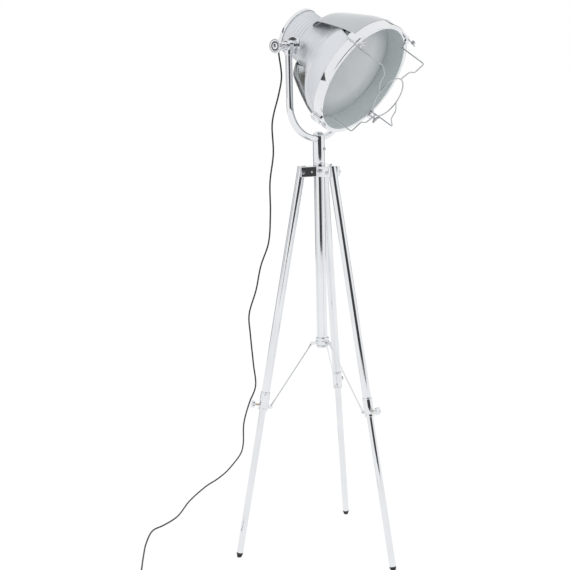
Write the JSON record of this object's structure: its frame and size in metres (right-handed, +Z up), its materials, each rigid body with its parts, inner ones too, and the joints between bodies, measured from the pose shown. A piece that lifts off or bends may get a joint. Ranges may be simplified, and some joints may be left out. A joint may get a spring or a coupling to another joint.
{
  "type": "tripod spotlight floor lamp",
  "caption": "Chrome tripod floor lamp with a white spotlight head in a tilting yoke, wire guard, telescopic legs and a black cord.",
  "frame": {"origin": "on the floor, under the middle of the lamp's box without the cord", "axes": "+Z up; the lamp looks towards +X and -Y; the near tilt knob points to -X and -Y"},
  "size_m": [0.8661, 0.9095, 1.6344],
  "materials": {
    "chrome_tube": "polished chrome plate",
    "steel_fastener": "bright turned steel",
    "white_enamel": "smooth satin white paint",
    "ring_enamel": "chrome band with a pale grey painted hood inside",
    "frosted_glass": "frosted",
    "spun_reflector": "spun and polished",
    "porcelain": "glazed",
    "black_rubber": "matt black"
  },
  "bodies": {
    "root": {"hub": "chrome_tube", "column_tube": "chrome_tube", "column_end_cap": "chrome_tube", "leg_bolt_1": "steel_fastener", "leg_bolt_2": "steel_fastener", "leg_bolt_3": "steel_fastener"},
    "leg_1": {"leg_end_1": "chrome_tube", "upper_leg_1": "chrome_tube", "leg_sleeve_1": "chrome_tube"},
    "extension_1": {"lower_leg_1": "chrome_tube", "foot_tip_1": "black_rubber"},
    "thumbscrew_1": {"leg_thumbscrew_1": "steel_fastener"},
    "leg_2": {"leg_end_2": "chrome_tube", "upper_leg_2": "chrome_tube", "leg_sleeve_2": "chrome_tube"},
    "extension_2": {"lower_leg_2": "chrome_tube", "foot_tip_2": "black_rubber"},
    "thumbscrew_2": {"leg_thumbscrew_2": "steel_fastener"},
    "leg_3": {"leg_end_3": "chrome_tube", "upper_leg_3": "chrome_tube", "leg_sleeve_3": "chrome_tube"},
    "extension_3": {"lower_leg_3": "chrome_tube", "foot_tip_3": "black_rubber"},
    "thumbscrew_3": {"leg_thumbscrew_3": "steel_fastener"},
    "spreader": {"spreader_collar": "chrome_tube"},
    "link_1": {"strut_1": "chrome_tube"},
    "link_2": {"strut_2": "chrome_tube"},
    "link_3": {"strut_3": "chrome_tube"},
    "yoke": {"stem": "chrome_tube", "stem_screw": "steel_fastener", "yoke_tube": "chrome_tube", "yoke_eye_near": "chrome_tube", "yoke_eye_far": "chrome_tube", "cord": "black_rubber", "cord_coil": "black_rubber", "plug": "black_rubber"},
    "head": {"neck_housing": "white_enamel", "rear_cap": "chrome_tube", "bell": "white_enamel", "front_ring": "ring_enamel", "lens": "frosted_glass", "reflector": "spun_reflector", "lamp_holder": "porcelain", "bulb": "frosted_glass", "pivot_stud_near": "chrome_tube", "pivot_stud_far": "chrome_tube", "clamp_1": "chrome_tube", "clamp_2": "chrome_tube", "clamp_3": "chrome_tube", "clamp_4": "chrome_tube", "wire_guard": "chrome_tube", "upper_shield": "chrome_tube", "lower_shield": "chrome_tube", "cord_gland": "black_rubber"},
    "knob_near": {"tilt_knob_near": "chrome_tube"},
    "knob_far": {"tilt_knob_far": "chrome_tube"},
    "wing_1": {"wing_nut_1": "steel_fastener"},
    "wing_2": {"wing_nut_2": "steel_fastener"},
    "wing_3": {"wing_nut_3": "steel_fastener"},
    "wing_4": {"wing_nut_4": "steel_fastener"}
  },
  "joints": [
    {"name": "leg_fold_1", "type": "hinge", "parent": "root", "child": "leg_1", "pos_m": [-0.06529, -0.02315, 1.167], "axis": [0.2699, -0.9629, 0], "range_deg": [0, 10]},
    {"name": "extension_slide_1", "type": "slide", "parent": "leg_1", "child": "extension_1", "axis": [-0.1792, -0.0502, -0.9825], "range_m": [-0.38, 0]},
    {"name": "thumbscrew_turn_1", "type": "hinge", "parent": "leg_1", "child": "thumbscrew_1", "pos_m": [-0.2107, -0.06391, 0.47705], "axis": [-0.9461, -0.2652, 0.1861], "continuous": true},
    {"name": "leg_fold_2", "type": "hinge", "parent": "root", "child": "leg_2", "pos_m": [0.027, -0.04674, 1.167], "axis": [0.6989, 0.7152, 0], "range_deg": [0, 10]},
    {"name": "extension_slide_2", "type": "slide", "parent": "leg_2", "child": "extension_2", "axis": [0.1331, -0.13, -0.9825], "range_m": [-0.38, 0]},
    {"name": "thumbscrew_turn_2", "type": "hinge", "parent": "leg_2", "child": "thumbscrew_2", "pos_m": [0.13501, -0.15229, 0.47705], "axis": [0.7027, -0.6867, 0.1861], "continuous": true},
    {"name": "leg_fold_3", "type": "hinge", "parent": "root", "child": "leg_3", "pos_m": [0.00129, 0.04498, 1.167], "axis": [-0.9688, 0.2477, 0], "range_deg": [0, 10]},
    {"name": "extension_slide_3", "type": "slide", "parent": "leg_3", "child": "extension_3", "axis": [0.0461, 0.1803, -0.9825], "range_m": [-0.38, 0]},
    {"name": "thumbscrew_turn_3", "type": "hinge", "parent": "leg_3", "child": "thumbscrew_3", "pos_m": [0.03869, 0.19129, 0.47705], "axis": [0.2434, 0.9519, 0.1861], "continuous": true},
    {"name": "spreader_slide", "type": "slide", "parent": "root", "child": "spreader", "axis": [0, 0, 1], "range_m": [0, 0.036]},
    {"name": "strut_swing_1", "type": "hinge", "parent": "spreader", "child": "link_1", "pos_m": [-0.04218, -0.01667, 0.652], "axis": [0.2699, -0.9629, 0], "range_deg": [0, 34]},
    {"name": "strut_swing_2", "type": "hinge", "parent": "spreader", "child": "link_2", "pos_m": [0.00984, -0.02997, 0.652], "axis": [0.6989, 0.7152, 0], "range_deg": [0, 34]},
    {"name": "strut_swing_3", "type": "hinge", "parent": "spreader", "child": "link_3", "pos_m": [-0.00466, 0.02173, 0.652], "axis": [-0.9688, 0.2477, 0], "range_deg": [0, 34]},
    {"name": "yoke_swivel", "type": "hinge", "parent": "root", "child": "yoke", "pos_m": [-0.01234, -0.0083, 1.19], "axis": [0, 0, 1], "range_deg": [-170, 170]},
    {"name": "head_tilt", "type": "hinge", "parent": "yoke", "child": "head", "pos_m": [-0.01234, -0.0083, 1.53], "axis": [-0.5934, -0.8049, 0], "range_deg": [-10, 100]},
    {"name": "knob_turn_near", "type": "hinge", "parent": "head", "child": "knob_near", "pos_m": [-0.11025, -0.14111, 1.53], "axis": [-0.5934, -0.8049, 0], "continuous": true},
    {"name": "knob_turn_far", "type": "hinge", "parent": "head", "child": "knob_far", "pos_m": [0.08558, 0.1245, 1.53], "axis": [0.5934, 0.8049, 0], "continuous": true},
    {"name": "wing_nut_turn_1", "type": "hinge", "parent": "head", "child": "wing_1", "pos_m": [0.15418, 0.02662, 1.31235], "axis": [0.6874, -0.5068, -0.5203], "continuous": true},
    {"name": "wing_nut_turn_2", "type": "hinge", "parent": "head", "child": "wing_2", "pos_m": [0.00354, -0.1777, 1.31235], "axis": [0.6874, -0.5068, -0.5203], "continuous": true},
    {"name": "wing_nut_turn_3", "type": "hinge", "parent": "head", "child": "wing_3", "pos_m": [0.26049, -0.05175, 1.52914], "axis": [0.6874, -0.5068, -0.5203], "continuous": true},
    {"name": "wing_nut_turn_4", "type": "hinge", "parent": "head", "child": "wing_4", "pos_m": [0.10985, -0.25607, 1.52914], "axis": [0.6874, -0.5068, -0.5203], "continuous": true}
  ],
  "couplings": [
    {"joint": "leg_fold_2", "follows": "leg_fold_1", "ratio": 1},
    {"joint": "leg_fold_3", "follows": "leg_fold_1", "ratio": 1},
    {"joint": "spreader_slide", "follows": "leg_fold_1", "m_per_rad": 0.19608},
    {"joint": "strut_swing_1", "follows": "leg_fold_1", "ratio": 3.3056},
    {"joint": "strut_swing_2", "follows": "leg_fold_1", "ratio": 3.3056},
    {"joint": "strut_swing_3", "follows": "leg_fold_1", "ratio": 3.3056}
  ]
}
